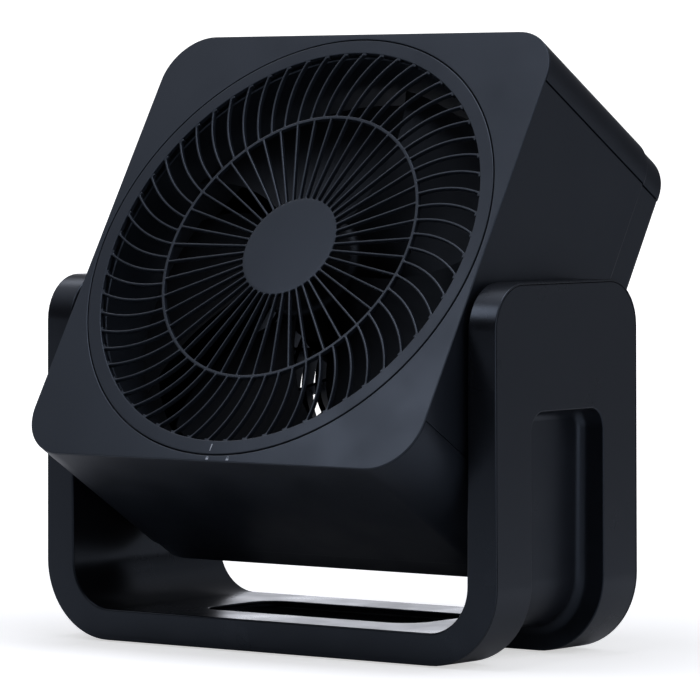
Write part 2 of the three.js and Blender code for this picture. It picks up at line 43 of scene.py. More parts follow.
# ------------------------------------------------------------------ frames
TILT = rad(31.2)
SHIFT = -12.123                            # the stand's middle lies this far in front of the origin
PIVOT = np.array([0.0, SHIFT, 218.4])
UP = np.array([0.0, sin(TILT), cos(TILT)])
FWD = np.array([0.0, -cos(TILT), sin(TILT)])
FACE = PIVOT + 25.0 * UP + 82.0 * FWD      # middle of the face


def head_to_row(v):
    v = np.asarray(v, float).reshape(-1, 3)
    return FACE + v[:, 0:1] * np.array([1.0, 0, 0]) + v[:, 1:2] * UP + v[:, 2:3] * FWD


def row(v):
    return np.asarray(v, float).reshape(-1, 3) + np.array([0.0, SHIFT, 0.0])


# ------------------------------------------------------------------ mesh building
class Build:
    """Collects vertices in millimetres and faces, then becomes one object."""

    def __init__(self):
        self.v, self.f = [], []

    def pts(self, points):
        start = len(self.v)
        self.v.extend([tuple(map(float, p)) for p in points])
        return list(range(start, len(self.v)))

    def bridge(self, a, b, closed=True):
        n = len(a)
        for i in range(n if closed else n - 1):
            j = (i + 1) % n
            self.f.append((a[i], a[j], b[j], b[i]))

    def loft(self, loops, closed=True, ring=False):
        idx = [self.pts(l) for l in loops]
        for k in range(len(idx) - 1):
            self.bridge(idx[k], idx[k + 1], closed)
        if ring:
            self.bridge(idx[-1], idx[0], closed)
        return idx

    def cap(self, loop):
        self.f.append(tuple(loop))

    def fan(self, loop, centre):
        c = self.pts([centre])[0]
        n = len(loop)
        for i in range(n):
            self.f.append((loop[i], loop[(i + 1) % n], c))

    def mesh(self, name, to_row=row, angle=32):
        me = bpy.data.meshes.new(name)
        me.from_pydata([tuple(p) for p in to_row(self.v) * MM], [], self.f)
        bm = bmesh.new()
        bm.from_mesh(me)
        bmesh.ops.remove_doubles(bm, verts=bm.verts, dist=1e-6)
        bmesh.ops.recalc_face_normals(bm, faces=bm.faces)
        bm.to_mesh(me)
        bm.free()
        me.validate()
        me.shade_smooth()
        me.set_sharp_from_angle(angle=rad(angle))
        return me


def add(name, me, mat, body, replaces=(), weighted=True):
    ob = bpy.data.objects.new(name, me)
    bpy.context.scene.collection.objects.link(ob)
    me.materials.clear()
    me.materials.append(mat)
    if weighted:
        m = ob.modifiers.new("face weighted normals", "WEIGHTED_NORMAL")
        m.keep_sharp = True
        m.weight = 100
        m.thresh = 0.01
    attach(ob, body)
    if replaces:
        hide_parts(*replaces)
    return ob


def join_meshes(name, builds, to_row=row, angle=32):
    b = Build()
    for one in builds:
        off = len(b.v)
        b.v.extend(one.v)
        b.f.extend([tuple(i + off for i in f) for f in one.f])
    return b.mesh(name, to_row, angle)


def fillet(r, n=4, d0=0.0, t0=0.0):
    """Quarter round from (inset 0, depth r) to (inset r, depth 0), as (inset, depth) pairs."""
    return [(d0 + r - r * cos(a), t0 + r - r * sin(a)) for a in [math.pi / 2 * i / n for i in range(n + 1)]]


def revolve(profile, n, cx=0.0, cy=0.0, closed=True):
    """Solid of revolution about z; profile is (radius, z)."""
    b = Build()
    loops = []
    for r, z in profile:
        loops.append([(cx + r * cos(2 * math.pi * i / n), cy + r * sin(2 * math.pi * i / n), z) for i in range(n)])
    idx = []
    for (r, z), l in zip(profile, loops):
        idx.append(b.pts([(cx, cy, z)]) * n if r < 1e-6 else b.pts(l))
    pairs = list(zip(idx, idx[1:]))
    if closed and profile[0][0] > 1e-6:
        pairs.append((idx[-1], idx[0]))
    for a, c in pairs:
        for i in range(n):
            j = (i + 1) % n
            q = [a[i], a[j], c[j], c[i]]
            u = []
            for k in q:
                if k not in u:
                    u.append(k)
            if len(u) > 2:
                b.f.append(tuple(u))
    return b


# ------------------------------------------------------------------ materials
def plastic(name, color, rough, grain=0.35, bump=0.05, mottle=0.06, spec=0.5, tint=(0.66, 0.79, 1.0), cloud=0.05):
    """Moulded plastic: fine spark-eroded grain, faint flow mottling, soft rub marks in the gloss."""
    m = bpy.data.materials.new(name)
    m.use_nodes = True
    nt = m.node_tree
    bs = nt.nodes["Principled BSDF"]
    tc = nt.nodes.new("ShaderNodeTexCoord")
    fine = nt.nodes.new("ShaderNodeTexNoise")
    fine.inputs["Scale"].default_value = 1.0 / (grain * MM)
    fine.inputs["Detail"].default_value = 2.0
    nt.links.new(tc.outputs["Object"], fine.inputs["Vector"])
    flow = nt.nodes.new("ShaderNodeTexNoise")
    flow.inputs["Scale"].default_value = 26.0
    flow.inputs["Detail"].default_value = 4.0
    nt.links.new(tc.outputs["Object"], flow.inputs["Vector"])
    ramp = nt.nodes.new("ShaderNodeValToRGB")
    ramp.color_ramp.elements[0].position = 0.3
    ramp.color_ramp.elements[1].position = 0.7
    ramp.color_ramp.elements[0].color = [c * (1 - mottle) for c in color] + [1]
    ramp.color_ramp.elements[1].color = [c * (1 + mottle) for c in color] + [1]
    nt.links.new(flow.outputs["Fac"], ramp.inputs["Fac"])
    nt.links.new(ramp.outputs["Color"], bs.inputs["Base Color"])
    rr = nt.nodes.new("ShaderNodeMapRange")
    rr.inputs["From Min"].default_value = 0.3
    rr.inputs["From Max"].default_value = 0.7
    rr.inputs["To Min"].default_value = rough - cloud
    rr.inputs["To Max"].default_value = rough + cloud
    nt.links.new(flow.outputs["Fac"], rr.inputs["Value"])
    nt.links.new(rr.outputs["Result"], bs.inputs["Roughness"])
    bp = nt.nodes.new("ShaderNodeBump")
    bp.inputs["Strength"].default_value = bump
    bp.inputs["Distance"].default_value = 0.00012
    nt.links.new(fine.outputs["Fac"], bp.inputs["Height"])
    nt.links.new(bp.outputs["Normal"], bs.inputs["Normal"])
    bs.inputs["Specular IOR Level"].default_value = spec
    bs.inputs["Specular Tint"].default_value = (*tint, 1)
    return m


def metal(name, color, rough, scale=900.0):
    m = bpy.data.materials.new(name)
    m.use_nodes = True
    nt = m.node_tree
    bs = nt.nodes["Principled BSDF"]
    bs.inputs["Metallic"].default_value = 1.0
    tc = nt.nodes.new("ShaderNodeTexCoord")
    no = nt.nodes.new("ShaderNodeTexNoise")
    no.inputs["Scale"].default_value = scale
    no.inputs["Detail"].default_value = 3.0
    nt.links.new(tc.outputs["Object"], no.inputs["Vector"])
    ramp = nt.nodes.new("ShaderNodeValToRGB")
    ramp.color_ramp.elements[0].color = [c * 0.85 for c in color] + [1]
    ramp.color_ramp.elements[1].color = [min(1, c * 1.1) for c in color] + [1]
    nt.links.new(no.outputs["Fac"], ramp.inputs["Fac"])
    nt.links.new(ramp.outputs["Color"], bs.inputs["Base Color"])
    rr = nt.nodes.new("ShaderNodeMapRange")
    rr.inputs["To Min"].default_value = rough - 0.08
    rr.inputs["To Max"].default_value = rough + 0.08
    nt.links.new(no.outputs["Fac"], rr.inputs["Value"])
    nt.links.new(rr.outputs["Result"], bs.inputs["Roughness"])
    return m


FACE_PLASTIC = plastic("face_slate", (0.0100, 0.0125, 0.0170), 0.38)
SHELL_PLASTIC = plastic("shell_slate", (0.0070, 0.0084, 0.0115), 0.36)
GRILLE_PLASTIC = plastic("grille_slate", (0.0098, 0.0122, 0.0168), 0.38, spec=0.42)
STAND_PLASTIC = plastic("stand_charcoal", (0.0050, 0.0053, 0.0066), 0.30)
COVER_PLASTIC = plastic("cover_charcoal", (0.0068, 0.0078, 0.0104), 0.32)
FAN_PLASTIC = plastic("fan_black", (0.0025, 0.0025, 0.0028), 0.45, spec=0.16)
BLACK_PLASTIC = plastic("black_plastic", (0.006, 0.006, 0.0066), 0.40)
PALE_PLASTIC = plastic("pale_plastic", (0.55, 0.53, 0.47), 0.5)
PRINT = plastic("pale_print", (0.42, 0.45, 0.50), 0.55, bump=0.0)
RUBBER = plastic("rubber", (0.011, 0.011, 0.011), 0.8, grain=0.6, bump=0.15, spec=0.3)
STEEL = metal("steel", (0.46, 0.47, 0.48), 0.36)
# near-black finish for the motor cans: painted shade, as dark as the shade inside the head where they sit
PAINTED_SHADE_STEEL = plastic("painted_steel", (0.003, 0.003, 0.0032), 0.5, grain=0.8, spec=0.15)
COPPER = metal("copper", (0.45, 0.20, 0.09), 0.42)

# ------------------------------------------------------------------ stand
# The stand is one strap bent into a U. q runs along it from the middle of the base, y across it,
# and depth is measured from its outer or its inner surface.
Q_BASE, Q_CORNER, Z_C = 141.0, 69.1, 56.0
ARM_TOP = 258.3
Q_TOP = Q_BASE + Q_CORNER + (ARM_TOP - Z_C)


def strap_point(q, y, t_out=None, t_in=None):
    s = -1.0 if q < 0 else 1.0
    a = abs(q)
    if a <= Q_BASE:
        po, pi = np.array([a * 142.4 / Q_BASE, 1.0]), np.array([a * 140.0 / Q_BASE, 23.0])
    elif a <= Q_BASE + Q_CORNER:
        w = rad(-90 + 90 * (a - Q_BASE) / Q_CORNER)
        po = np.array([142.4 + 55 * cos(w), 56 + 55 * sin(w)])
        pi = np.array([140.0 + 33 * cos(w), 56 + 33 * sin(w)])
    else:
        z = Z_C + a - Q_BASE - Q_CORNER
        k = (z - Z_C) / (ARM_TOP - Z_C)
        po, pi = np.array([197.4 - k, z]), np.array([173.0 + k, z])
    d = pi - po
    L = np.linalg.norm(d)
    t = t_out if t_out is not None else L - t_in
    p = po + d * (t / L)
    return (s * p[0], y, p[1])


def q_of_z(z):
    return Q_BASE + Q_CORNER + z - Z_C


Q_CHAN = Q_BASE + Q_CORNER + 171.0 - Z_C        # end of the grip channel, at z = 171
ARC = [sin(rad(9 * k)) for k in range(11)]
STATIONS = sorted(set(
    [round(g * v, 4) for g in (-1, 1) for v in
     list(np.linspace(0, 75, 4)) + [75 + 21.1 * a for a in ARC[1:]] + [112, 127] +
     list(np.linspace(Q_BASE, Q_BASE + Q_CORNER, 19)) +
     [230, 255, 280, 297] + [Q_CHAN - 14 + 15 * a for a in ARC] + [338, 352, 366]]))


def outline(L, W, R, inset, n=10):
    """Rounded rectangle in (q, y): the y > 0 side from the left end to the right end."""
    r = R - inset
    pts = [(-(L - R) - r * ARC[n - k], (W - R) + r * cos(rad(9 * (n - k)))) for k in range(n + 1)]
    pts += [(q, W - inset) for q in STATIONS if -(L - R) + 0.01 < q < (L - R) - 0.01]
    pts += [((L - R) + r * ARC[k], (W - R) + r * cos(rad(9 * k))) for k in range(n + 1)]
    return pts


class Strap(Build):
    def side(self, pts, **t):
        """Both long sides of an outline: index lists for y > 0 and y < 0."""
        a = self.pts([strap_point(q, y, **t) for q, y in pts])
        b = self.pts([strap_point(q, -y, **t) for q, y in pts])
        return a, b, [q for q, _ in pts]

    def walls(self, s0, s1):
        self.bridge(s0[0], s1[0], False)
        self.bridge(s1[1], s0[1], False)
        for k in (0, -1):
            self.f.append((s0[0][k], s0[1][k], s1[1][k], s1[0][k]))

    def face(self, s, hole=None):
        a, b, q = s
        if hole is None:
            for i in range(len(q) - 1):
                self.f.append((a[i], a[i + 1], b[i + 1], b[i]))
            return
        ha, hb, hq = hole

        def at(v):
            return min(range(len(hq)), key=lambda k: abs(hq[k] - v))
        lo, hi = hq[0], hq[-1]
        for i in range(len(q) - 1):
            q0, q1 = q[i], q[i + 1]
            if q1 < lo - 0.01 or q0 > hi + 0.01:
                self.f.append((a[i], a[i + 1], b[i + 1], b[i]))
            elif abs(q1 - lo) < 0.01:
                self.f.append((a[i], a[i + 1], ha[0], hb[0], b[i + 1], b[i]))
            elif abs(q0 - hi) < 0.01:
                self.f.append((a[i], a[i + 1], b[i + 1], b[i], hb[-1], ha[-1]))
            else:
                k0, k1 = at(q0), at(q1)
                self.f.append((a[i], a[i + 1], ha[k1], ha[k0]))
                self.f.append((hb[k0], hb[k1], b[i + 1], b[i]))


W_STRAP, R_ARM = 83.0, 32.0


def frame_line(d):
    return outline(Q_TOP, W_STRAP, R_ARM, d)


def cover_line(d):
    return outline(Q_TOP - 1.75, W_STRAP - 1.75, R_ARM - 1.75, d)


def channel_line(grow):
    return outline(Q_CHAN, 42.0, 14.0, -grow)


def slot_line(grow):
    return outline(95.0, 40.0, 20.0, -grow)


# frame: full-depth tray whose lip stands round the outer cover; the slot goes through its base
b = Strap()
loops = [b.side(frame_line(1.4), t_in=1.8)]
for d, t in [(1.4, 0.4), (1.28, 0.12), (1.05, 0.0), (0.85, 0.0), (0.45, 0.08), (0.12, 0.35), (0.0, 0.8)]:
    loops.append(b.side(frame_line(d), t_out=t))
for d, t in fillet(1.4, 4):
    loops.append(b.side(frame_line(d), t_in=t))
for u, v in zip(loops, loops[1:]):
    b.walls(u, v)
holes = [b.side(slot_line(g), t_in=t) for g, t in [(1.1, 0.0), (0.62, 0.09), (0.2, 0.36), (0.0, 0.9), (0.0, 1.6), (1.1, 1.8)]]
for u, v in zip(holes, holes[1:]):
    b.walls(u, v)
b.face(loops[-1], holes[0])
b.face(loops[0], holes[-1])
add("frame_strap", b.mesh("frame_strap"), STAND_PLASTIC, "stand", ["stand_frame"])

# outer cover: skin with the grip channel pressed into it
b = Strap()
rim = [b.side(cover_line(d), t_out=t) for d, t in [(0.0, 2.4), (0.0, 0.5), (0.13, 0.15), (0.45, 0.0)]]
chan = [b.side(channel_line(g), t_out=t) for g, t in [(1.0, 0.0), (0.5, 0.12), (0.15, 0.45), (0.0, 1.0)]]
chan += [b.side(channel_line(-d), t_in=4.1 + t) for d, t in fillet(7.5, 7)]
slot = [b.side(slot_line(g), t_in=t) for g, t in [(1.1, 4.1), (0.4, 3.95), (0.4, 2.3), (1.1, 2.1)]]
back = [b.side(channel_line(1.0), t_in=2.1), b.side(channel_line(1.0), t_out=2.4)]
for group in (rim, chan, slot, back):
    for u, v in zip(group, group[1:]):
        b.walls(u, v)
b.face(rim[-1], chan[0])
b.face(chan[-1], slot[0])
b.face(back[0], slot[-1])
b.face(rim[0], back[1])
add("cover_strap", b.mesh("cover_strap"), COVER_PLASTIC, "stand", ["stand_cover"])


# ------------------------------------------------------------------ feet
def stadium(hx, hy, cx, cy, n=10):
    r = min(hx, hy)
    pts = []
    for sx, sy, a0 in ((1, 1, 0), (-1, 1, 90), (-1, -1, 180), (1, -1, 270)):
        for k in range(n + 1):
            a = rad(a0 + 90 * k / n)
            pts.append((cx + sx * (hx - r) + r * cos(a), cy + sy * (hy - r) + r * sin(a)))
    return pts


for where, cx, cy in (("front_left", -120, -63), ("front_right", 120, -63), ("rear_left", -120, 63), ("rear_right", 120, 63)):
    b = Build()
    loops = []
    for inset, z in [(0, 1.9), (0, 0.7), (0.2, 0.25), (0.7, 0.0), (2.4, 0.0), (2.6, 0.25), (3.2, 0.25)]:
        loops.append(b.pts([(x, y, z) for x, y in stadium(16 - inset, 8 - inset, cx, cy)]))
    for u, v in zip(loops, loops[1:]):
        b.bridge(u, v)
    b.cap(loops[0])
    b.cap(loops[-1])
    add("pad_" + where, b.mesh("pad_" + where), RUBBER, "stand", ["foot_" + where])

# ------------------------------------------------------------------ head shells
HALF, CR = 170.2, 36.0


def shell_sweep(path, outer, inner, limit=7.25):
    b = Build()
    rings = []
    for x, y, nx, ny, e, ei in path:
        pts = [(x - nx * min(i + e, limit), y - ny * min(i + e, limit), -s) for s, i in outer]
        pts += [(x - nx * min(i + ei, limit), y - ny * min(i + ei, limit), -s) for s, i in reversed(inner)]
        rings.append(b.pts(pts))
    for u, v in zip(rings, rings[1:]):
        b.bridge(u, v)
    n = len(outer)
    for r in (rings[0], rings[-1]):
        for k in range(n - 1):
            b.f.append((r[k], r[k + 1], r[2 * n - 2 - k], r[2 * n - 1 - k]))
    return b


SHELL_OUT = [(1.55, 0.3), (1.65, 0.08), (1.9, 0.0), (138.7, 0.0), (139.15, 0.1), (140.75, 1.3), (141.3, 1.4), (160.5, 1.4),
             (161.7, 1.55), (162.8, 1.95), (163.7, 2.6), (164.4, 3.5), (164.85, 4.6), (165.0, 5.9), (165.0, 6.6), (164.85, 7.0), (164.5, 7.2)]
SHELL_IN = [(1.55, 2.2), (1.65, 2.2), (1.9, 2.2), (138.7, 2.2), (139.15, 2.4), (140.75, 3.4), (141.3, 3.6), (158.0, 3.6),
            (159.0, 3.6), (160.0, 3.6), (161.0, 3.7), (161.5, 3.9), (161.6, 4.6), (161.6, 5.2), (161.6, 5.9), (161.6, 6.6), (161.6, 7.2)]
SEAM = 131.5
for name, sy in (("top", 1), ("bottom", -1)):
    path = [(HALF, SEAM + 0.4, 1, 0, 0.5, 0), (HALF, SEAM + 0.5, 1, 0, 0.18, 0), (HALF, SEAM + 0.85, 1, 0, 0.0, 0)]
    c = HALF - CR
    path += [(c + CR * cos(rad(a)), c + CR * sin(rad(a)), cos(rad(a)), sin(rad(a)), 0, 0) for a in np.linspace(0, 90, 25)]
    path += [(-c - CR * sin(rad(a)), c + CR * cos(rad(a)), -sin(rad(a)), cos(rad(a)), 0, 0) for a in np.linspace(0, 90, 25)]
    path += [(-x, y, -nx, ny, e, ei) for x, y, nx, ny, e, ei in reversed(path[:3])]
    path = [(x, sy * y, nx, sy * ny, e, ei) for x, y, nx, ny, e, ei in path]
    me = shell_sweep(path, SHELL_OUT, SHELL_IN).mesh("shell_" + name, head_to_row)
    add("shell_" + name, me, SHELL_PLASTIC, "head", ["head_shell_" + name])
PANEL_OUT = [(s, i + 0.7) for s, i in SHELL_OUT]
PANEL_IN = [(s, i + 0.3) for s, i in SHELL_IN]
for name, sx in (("left", -1), ("right", 1)):
    st = [(-134.2, 2.0, 1.4), (-SEAM + 0.4, 2.0, 1.4), (-SEAM + 0.4, 0.45, 0), (-SEAM + 0.5, 0.14, 0), (-SEAM + 0.85, 0, 0)]
    st = st + [(-y, e, ei) for y, e, ei in reversed(st)]
    path = [(sx * HALF, y, sx, 0, e, ei) for y, e, ei in st]
    me = shell_sweep(path, PANEL_OUT, PANEL_IN).mesh("panel_" + name, head_to_row)
    add("panel_" + name, me, SHELL_PLASTIC, "head", ["side_panel_" + name])


# ------------------------------------------------------------------ front bezel
def square_path(inset, h=HALF, r=CR, n_arc=18, n_side=44):
    """Points round a rounded square, evenly spaced by angle along its flats."""
    c = h - r
    a1 = math.degrees(math.atan2(c, h))
    pts = []
    for k in range(4):
        t0 = rad(90 * k)
        loc = [(h - inset, h * math.tan(rad(t))) for t in np.linspace(-a1, a1, n_side + 1)[:-1]]
        loc += [(c + (r - inset) * cos(rad(a)), c + (r - inset) * sin(rad(a))) for a in np.linspace(0, 90, n_arc + 1)[:-1]]
        for x, y in loc:
            pts.append((x * cos(t0) - y * sin(t0), x * sin(t0) + y * cos(t0)))
    return pts


SQ_A = [math.atan2(y, x) for x, y in square_path(0)]
b = Build()
loops = []
for inset, z in [(3.0, -3.2), (3.0, -1.4), (0.25, -1.4), (0.0, -1.15), (0.0, -0.75), (0.1, -0.38), (0.32, -0.12), (0.75, 0.0)]:
    loops.append([(x, y, z) for x, y in square_path(inset)])
for r, z in [(166.55, 0.0), (166.2, -0.07), (165.92, -0.3), (165.8, -0.75), (165.8, -7.2), (157.0, -7.2), (155.2, -7.4), (154.6, -8.2), (154.6, -74.0),
             (156.2, -74.0), (156.2, -9.2), (166.9, -9.2), (166.9, -3.2)]:
    loops.append([(r * cos(a), r * sin(a), z) for a in SQ_A])
b.loft(loops, ring=True)
POSTS = ((-147, 147), (147, 147), (-147, -147), (147, -147))
posts = [revolve([(0, -158.4), (5.2, -158.4), (5.2, -3.0), (0, -3.0)], 20, px, py) for px, py in POSTS]
add("face_plate", join_meshes("face_plate", [b] + posts, head_to_row), FACE_PLASTIC, "head", ["front_bezel"])

# ------------------------------------------------------------------ front grille
SLOT_R, MID_R, HUB_R = 154.5, 103.5, 38.3


def dish(r):
    if r >= SLOT_R:
        return 0.0
    if r >= MID_R:
        return -0.3 - 2.0 * (SLOT_R - r) / (SLOT_R - MID_R)
    return -2.3 - 1.1 * (MID_R - r) / (MID_R - HUB_R)


def swept(a0, r):
    return a0 - 0.07 * (r - MID_R) - 0.0018 * (r - MID_R) ** 2


def rib(points, width, depth=3.1, top=0.0):
    """Bar with a rounded front along points (x, y, z of its crest, flare at its root)."""
    b = Build()
    rings = []
    n = len(points)
    for i, (x, y, z, flare) in enumerate(points):
        p, q = points[max(i - 1, 0)], points[min(i + 1, n - 1)]
        t = np.array([q[0] - p[0], q[1] - p[1]])
        t = t / np.linalg.norm(t)
        nx, ny = -t[1], t[0]
        w = width / 2 + flare
        sec = [(-w, -depth), (-w, -0.62), (-w + 0.12, -0.26), (-w + 0.42, -0.04), (0.0, 0.02), (w - 0.42, -0.04), (w - 0.12, -0.26), (w, -0.62), (w, -depth)]
        rings.append(b.pts([(x + nx * u, y + ny * u, z + top + v) for u, v in sec]))
    for u, v in zip(rings, rings[1:]):
        b.bridge(u, v)
    b.cap(rings[0])
    b.cap(rings[-1])
    return b


def flare_at(d, r=2.2):
    """Root fillet: extra half width at distance d from the ring."""
    if d >= r:
        return 0.0
    return r - math.sqrt(max(0.0, r * r - (r - d) ** 2))


parts = [
    revolve([(165.0, -6.9), (165.0, -0.65), (164.9, -0.25), (164.65, -0.05), (164.3, 0.0), (155.35, 0.0), (154.95, -0.08), (154.65, -0.3), (154.5, -0.75),
             (154.5, -3.3), (162.6, -3.3), (162.6, -6.9)], 256),
]
z0 = dish(MID_R)
parts.append(revolve([(MID_R - 1.2, z0 - 3.2), (MID_R - 1.2, z0 - 0.5), (MID_R - 1.0, z0 - 0.12), (MID_R - 0.5, z0 + 0.06), (MID_R + 0.5, z0 + 0.06),
                      (MID_R + 1.0, z0 - 0.12), (MID_R + 1.2, z0 - 0.5), (MID_R + 1.2, z0 - 3.2)], 200))
z0 = dish(HUB_R)
parts.append(revolve([(0, z0 - 3.0), (HUB_R, z0 - 3.0), (HUB_R, z0 - 0.7), (HUB_R - 0.2, z0 - 0.22), (HUB_R - 0.75, z0), (HUB_R - 3.0, z0 + 0.12), (0, z0 + 0.12)], 128))
for k in range(60):
    pts = []
    for r in [MID_R + 0.2, MID_R + 1.6, MID_R + 2.4, 108, 112, 117, 122, 127, 132, 137, 142, 147, 150.5, 152.3, 153.2, 153.9, 154.5, 155.3]:
        a = rad(swept(6.0 * k, r))
        f = max(flare_at(SLOT_R - r, 2.0), flare_at(max(0.0, r - MID_R - 1.2), 1.0)) if r < SLOT_R else 2.0
        pts.append((r * cos(a), r * sin(a), dish(min(r, SLOT_R - 0.01)), min(f, 2.0)))
    parts.append(rib(pts, 1.6))
for k in range(45):
    a = rad(4 + 8.0 * k)
    pts = []
    for r in [HUB_R - 0.4, HUB_R + 0.4, HUB_R + 1.2, 60, 80, MID_R - 2.4, MID_R - 1.6, MID_R - 0.2]:
        f = max(flare_at(r - HUB_R, 1.0) if r > HUB_R else 1.0, flare_at(MID_R - 1.2 - r, 1.0) if r < MID_R - 1.2 else 0.8)
        pts.append((r * cos(a), r * sin(a), dish(r), min(f, 1.0)))
    parts.append(rib(pts, 1.5))
for a in (45, 135, 225, 315):
    for r0, r1, w, zz0, zz1 in ((159, 161.4, 4, -12, -2), (157.4, 163.2, 9, -12, -9.6)):
        lug = Build()
        ca, sa = cos(rad(a)), sin(rad(a))
        rings = []
        for z in (zz0, zz1):
            rings.append(lug.pts([(r * ca - t * sa, r * sa + t * ca, z) for r, t in ((r0, -w / 2), (r1, -w / 2), (r1, w / 2), (r0, w / 2))]))
        lug.bridge(rings[0], rings[1])
        lug.cap(rings[0])
        lug.cap(rings[1])
        parts.append(lug)
add("grille_ring", join_meshes("grille_ring", parts, head_to_row), GRILLE_PLASTIC, "grille", ["front_grille"])


# printed marks: a tick on the grille rim, locked and unlocked marks on the face
def flat_mark(name, shapes, z, body):
    b = Build()
    for poly in shapes:
        lo = b.pts([(x, y, z) for x, y in poly])
        hi = b.pts([(x, y, z + 0.05) for x, y in poly])
        b.bridge(lo, hi)
        b.cap(lo)
        b.cap(hi)
    add(name, b.mesh(name, head_to_row), PRINT, body, (), weighted=False)


flat_mark("tick_mark", [[(-0.5, -157.2), (0.5, -157.2), (0.28, -162.4), (-0.28, -162.4)]], 0.01, "grille")


def padlock(cx, cy, lift):
    out = [[(cx - 1.1, cy - 1.2), (cx + 1.1, cy - 1.2), (cx + 1.1, cy + 0.25), (cx - 1.1, cy + 0.25)]]
    up = [(cx + 0.8 * cos(rad(a)), cy + 0.55 + lift + 0.75 * sin(rad(a))) for a in range(0, 181, 30)]
    dn = [(cx + 0.5 * cos(rad(a)), cy + 0.55 + lift + 0.45 * sin(rad(a))) for a in range(180, -1, -30)]
    out.append(up + dn)
    out.append([(cx - 0.8, cy + 0.2), (cx - 0.5, cy + 0.2), (cx - 0.5, cy + 0.6 + lift), (cx - 0.8, cy + 0.6 + lift)])
    if not lift:
        out.append([(cx + 0.5, cy + 0.2), (cx + 0.8, cy + 0.2), (cx + 0.8, cy + 0.6), (cx + 0.5, cy + 0.6)])
    return out


flat_mark("lock_mark", padlock(0.0, -168.0, 0.0), 0.01, "head")
flat_mark("unlock_mark", padlock(17.6, -167.9, 0.5), 0.01, "head")

# ------------------------------------------------------------------ rear cover
from mathutils.geometry import tessellate_polygon


def rounded_square(h, r, n=12):
    c = h - r
    pts = []
    for sx, sy, a0 in ((1, 1, 0), (-1, 1, 90), (-1, -1, 180), (1, -1, 270)):
        for k in range(n + 1):
            a = rad(a0 + 90 * k / n)
            pts.append((sx * c + r * cos(a), sy * c + r * sin(a)))
    return pts


def circle_at(cx, cy, r, n=28):
    return [(cx + r * cos(2 * math.pi * k / n), cy + r * sin(2 * math.pi * k / n)) for k in range(n)]


def sector(r0, r1, a0, a1, w, g, n=4):
    """Slot between two straight radial ribs of width w; g grows it on every side."""
    r0, r1, w = r0 - g, r1 + g, w - 2 * g

    def arc_pts(r, back):
        h = math.degrees(math.asin(w / 2 / r))
        lo, hi = a0 + h, a1 - h
        t = [lo + (hi - lo) * k / n for k in range(n + 1)]
        if back:
            t = t[::-1]
        return [(r * cos(rad(a)), r * sin(rad(a))) for a in t]
    return arc_pts(r1, False) + arc_pts(r0, True)


def plate(outer, holes, z_back, z_front, fil=0.5):
    """Plate with filleted rear edges round its rim and round every hole. outer and holes take a growth."""
    b = Build()
    edge = [(fil, 0.0), (fil * 0.5, fil * 0.13), (fil * 0.13, fil * 0.5), (0.0, fil)]
    rims = []
    for fn, sgn in [(outer, -1)] + [(h, 1) for h in holes]:
        stack = [b.pts([(x, y, z_back + t) for x, y in fn(sgn * g)]) for g, t in edge]
        stack.append(b.pts([(x, y, z_front) for x, y in fn(0.0)]))
        for u, v in zip(stack, stack[1:]):
            b.bridge(u, v)
        rims.append((stack[0], stack[-1]))
    for k in (0, 1):
        order = [i for rim in rims for i in rim[k]]
        tris = tessellate_polygon([[Vector(b.v[i]) for i in rim[k]] for rim in rims])
        for t in tris:
            b.f.append(tuple(order[i] for i in t))
    return b


REAR = -164.2
outer = lambda g: rounded_square(162.6 + g, 28.1 + g)
holes = []
holes.append(lambda g: circle_at(121, 121, 3.9 + g))
holes.append(lambda g: circle_at(-124, -126, 7.9 + g))
for px, py in POSTS:
    holes.append(lambda g, px=px, py=py: circle_at(px, py, 4.2 + g))
MOTOR_SCREWS = [(34 * cos(rad(90 + 120 * k)), 34 * sin(rad(90 + 120 * k))) for k in range(3)]
centre_holes = [lambda g, px=px, py=py: circle_at(px, py, 3.5 + g, 20) for px, py in MOTOR_SCREWS]
holes.append(lambda g: circle_at(0, 0, 141.0, 192))
b = plate(outer, holes, REAR, -161.1)
slots = []
for k in range(8):
    for j in range(16):
        r0 = 50 + 11.4 * k
        slots.append(lambda g, r0=r0, a=22.5 * j: sector(r0, r0 + 7.4, a, a + 22.5, 2.6, g, 6))
intake = plate(lambda g: circle_at(0, 0, 141.0, 192), slots + [lambda g: circle_at(0, 0, 48.0, 128)], REAR, -154.2, 0.6)
centre = plate(lambda g: circle_at(0, 0, 48.0, 128), centre_holes, REAR, -161.1)
# inner flange and the floors of the screw counterbores
flange = Build()
n_f = 12
o_sq, i_sq = rounded_square(166.1, 31.8, n_f), rounded_square(154, 60, n_f)
flange.loft([[(x, y, z) for x, y in sq] for sq, z in ((o_sq, -161.2), (o_sq, -158.9), (i_sq, -158.9), (i_sq, -161.2))], ring=True)
floors = [revolve([(2.0, -161.6), (4.6, -161.6), (4.6, -160.4), (2.0, -160.4)], 24, px, py) for px, py in POSTS]
floors += [revolve([(1.9, -162.4), (3.9, -162.4), (3.9, -161.3), (1.9, -161.3)], 20, px, py) for px, py in MOTOR_SCREWS]
add("rear_plate", join_meshes("rear_plate", [b, intake, centre, flange] + floors, head_to_row), SHELL_PLASTIC, "head", ["rear_cover"])


